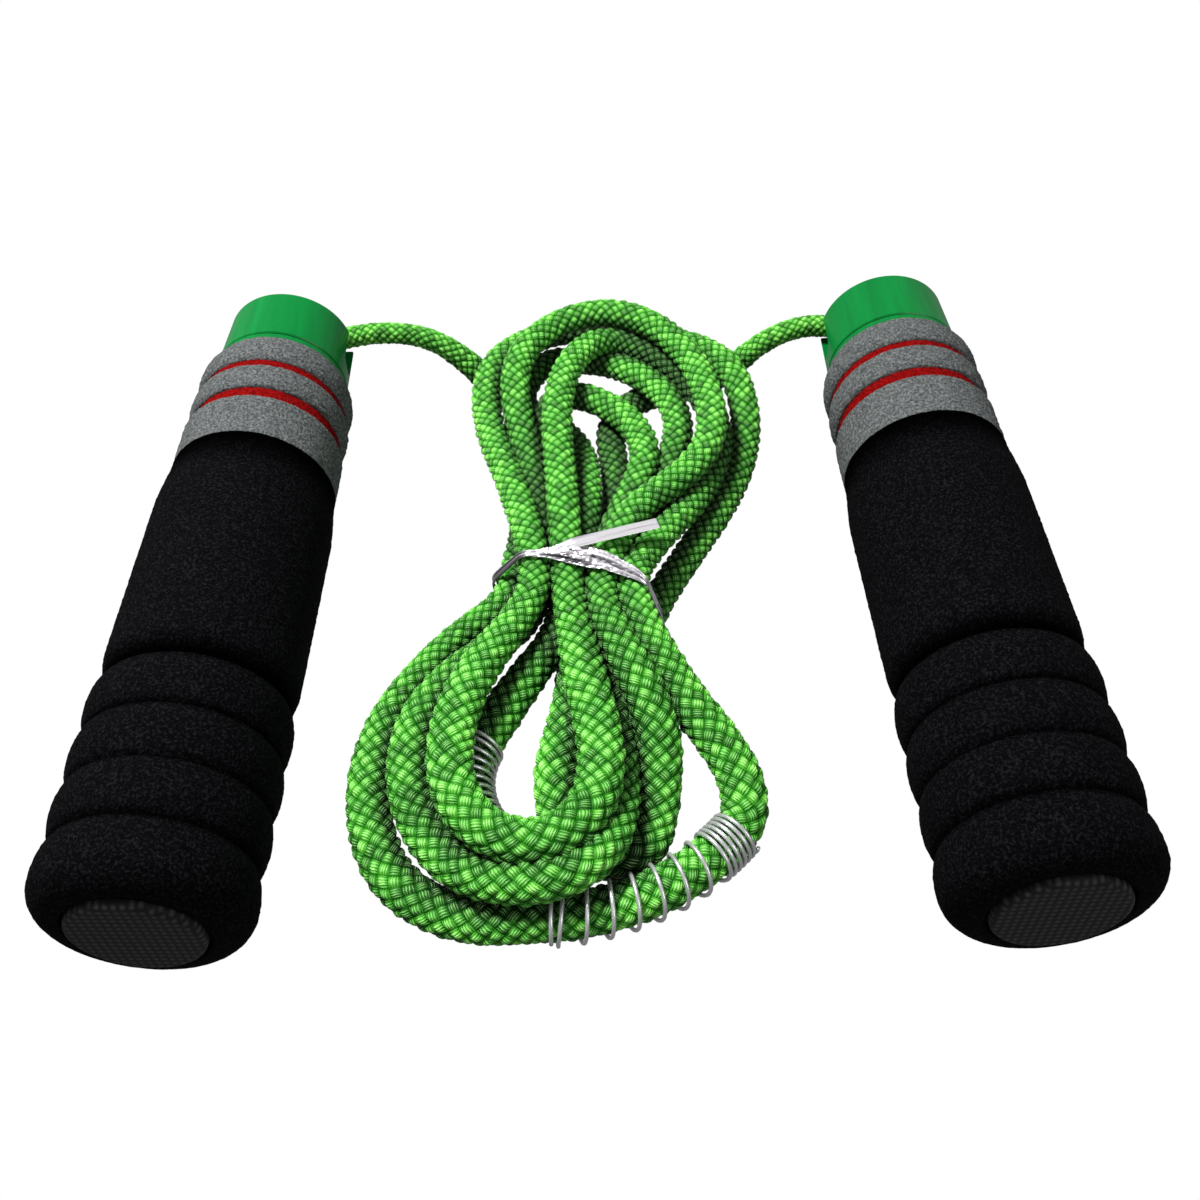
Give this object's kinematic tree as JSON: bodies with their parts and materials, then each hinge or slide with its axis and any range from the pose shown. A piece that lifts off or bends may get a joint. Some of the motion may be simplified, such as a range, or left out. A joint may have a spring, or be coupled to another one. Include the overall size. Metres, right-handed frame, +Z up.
{
  "type": "jump rope",
  "caption": "Jump rope with foam-covered ball-bearing handles, slotted green heads and a braided green rope folded and held by a twist tie.",
  "frame": {"origin": "centre of the bounding box at its bottom, under the middle of the folded bundle, with the handles lying either side", "axes": "+Y from the handle butts towards the rotating heads, +X to the right, +Z up from the floor plane"},
  "size_m": [0.2, 0.1798, 0.0401],
  "materials": {
    "black_foam": "matt closed-cell foam",
    "grey_foam": "matt speckled foam",
    "red_foam": "matt foam",
    "dark_plastic": "satin",
    "green_plastic": "gloss",
    "cage_nylon": "satin",
    "green_rope": "braided, slightly shiny",
    "tie_foil": "crinkled bright foil",
    "crimp_brass": "satin",
    "bright_steel": "bright"
  },
  "bodies": {
    "rope_bundle": {"rope_coil": "green_rope", "twist_tie": "tie_foil"},
    "left_lead_body": {"left_lead": "green_rope", "left_ferrule": "crimp_brass"},
    "left_head": {"left_head_cup": "green_plastic", "left_head_cap": "green_plastic", "left_spindle_bolt": "bright_steel", "left_spindle_nut": "bright_steel", "left_inner_washer": "bright_steel", "left_spacer_washer": "bright_steel", "left_inner_race": "bright_steel"},
    "left_ball_train": {"left_ball_set": "bright_steel", "left_ball_cage": "cage_nylon"},
    "left_handle": {"left_black_grip": "black_foam", "left_grey_band": "grey_foam", "left_red_ring_rear": "red_foam", "left_grey_ring": "grey_foam", "left_red_ring_front": "red_foam", "left_grey_nose": "grey_foam", "left_core_tube": "dark_plastic", "left_end_plug": "dark_plastic", "left_bearing_housing": "green_plastic", "left_outer_race": "bright_steel", "left_bearing_shields": "bright_steel"},
    "right_lead_body": {"right_lead": "green_rope", "right_ferrule": "crimp_brass"},
    "right_head": {"right_head_cup": "green_plastic", "right_head_cap": "green_plastic", "right_spindle_bolt": "bright_steel", "right_spindle_nut": "bright_steel", "right_inner_washer": "bright_steel", "right_spacer_washer": "bright_steel", "right_inner_race": "bright_steel"},
    "right_ball_train": {"right_ball_set": "bright_steel", "right_ball_cage": "cage_nylon"},
    "right_handle": {"right_black_grip": "black_foam", "right_grey_band": "grey_foam", "right_red_ring_rear": "red_foam", "right_grey_ring": "grey_foam", "right_red_ring_front": "red_foam", "right_grey_nose": "grey_foam", "right_core_tube": "dark_plastic", "right_end_plug": "dark_plastic", "right_bearing_housing": "green_plastic", "right_outer_race": "bright_steel", "right_bearing_shields": "bright_steel"},
    "front_spring_body": {"front_spring": "bright_steel"},
    "inner_spring_body": {"inner_spring": "bright_steel"}
  },
  "joints": [
    {"name": "left_lead_lift", "type": "hinge", "parent": "rope_bundle", "child": "left_lead_body", "pos_m": [-0.03633, 0.07614, 0.01577], "axis": [0.0877, 0.9961, 0], "range_deg": [-3, 25]},
    {"name": "left_head_swing", "type": "hinge", "parent": "left_lead_body", "child": "left_head", "pos_m": [-0.07261, 0.06822, 0.01902], "axis": [0, 0, 1], "range_deg": [-35, 3]},
    {"name": "left_handle_spin", "type": "hinge", "parent": "left_head", "child": "left_handle", "pos_m": [-0.07325, 0.05554, 0.01911], "axis": [0.0502, 0.9987, -0.007], "continuous": true},
    {"name": "left_ball_roll", "type": "hinge", "parent": "left_head", "child": "left_ball_train", "pos_m": [-0.07325, 0.05554, 0.01911], "axis": [0.0502, 0.9987, -0.007], "continuous": true},
    {"name": "right_lead_lift", "type": "hinge", "parent": "rope_bundle", "child": "right_lead_body", "pos_m": [0.04472, 0.07229, 0.01258], "axis": [0, -1, 0], "range_deg": [-3, 25]},
    {"name": "right_head_swing", "type": "hinge", "parent": "right_lead_body", "child": "right_head", "pos_m": [0.07641, 0.06567, 0.01902], "axis": [0, 0, 1], "range_deg": [-3, 35]},
    {"name": "right_handle_spin", "type": "hinge", "parent": "right_head", "child": "right_handle", "pos_m": [0.07672, 0.05298, 0.01911], "axis": [-0.0243, 0.9997, -0.007], "continuous": true},
    {"name": "right_ball_roll", "type": "hinge", "parent": "right_head", "child": "right_ball_train", "pos_m": [0.07672, 0.05298, 0.01911], "axis": [-0.0243, 0.9997, -0.007], "continuous": true},
    {"name": "front_spring_slide", "type": "hinge", "parent": "rope_bundle", "child": "front_spring_body", "pos_m": [-0.00925, -0.02918, 0.006], "axis": [0, 0, 1], "range_deg": [-2.5, 2.5]},
    {"name": "inner_spring_slide", "type": "hinge", "parent": "rope_bundle", "child": "inner_spring_body", "pos_m": [-0.00585, -0.04978, 0.00665], "axis": [0, 0, 1], "range_deg": [-4, 4]}
  ],
  "couplings": [
    {"joint": "left_ball_roll", "follows": "left_handle_spin", "ratio": 0.64},
    {"joint": "right_ball_roll", "follows": "right_handle_spin", "ratio": 0.64}
  ]
}
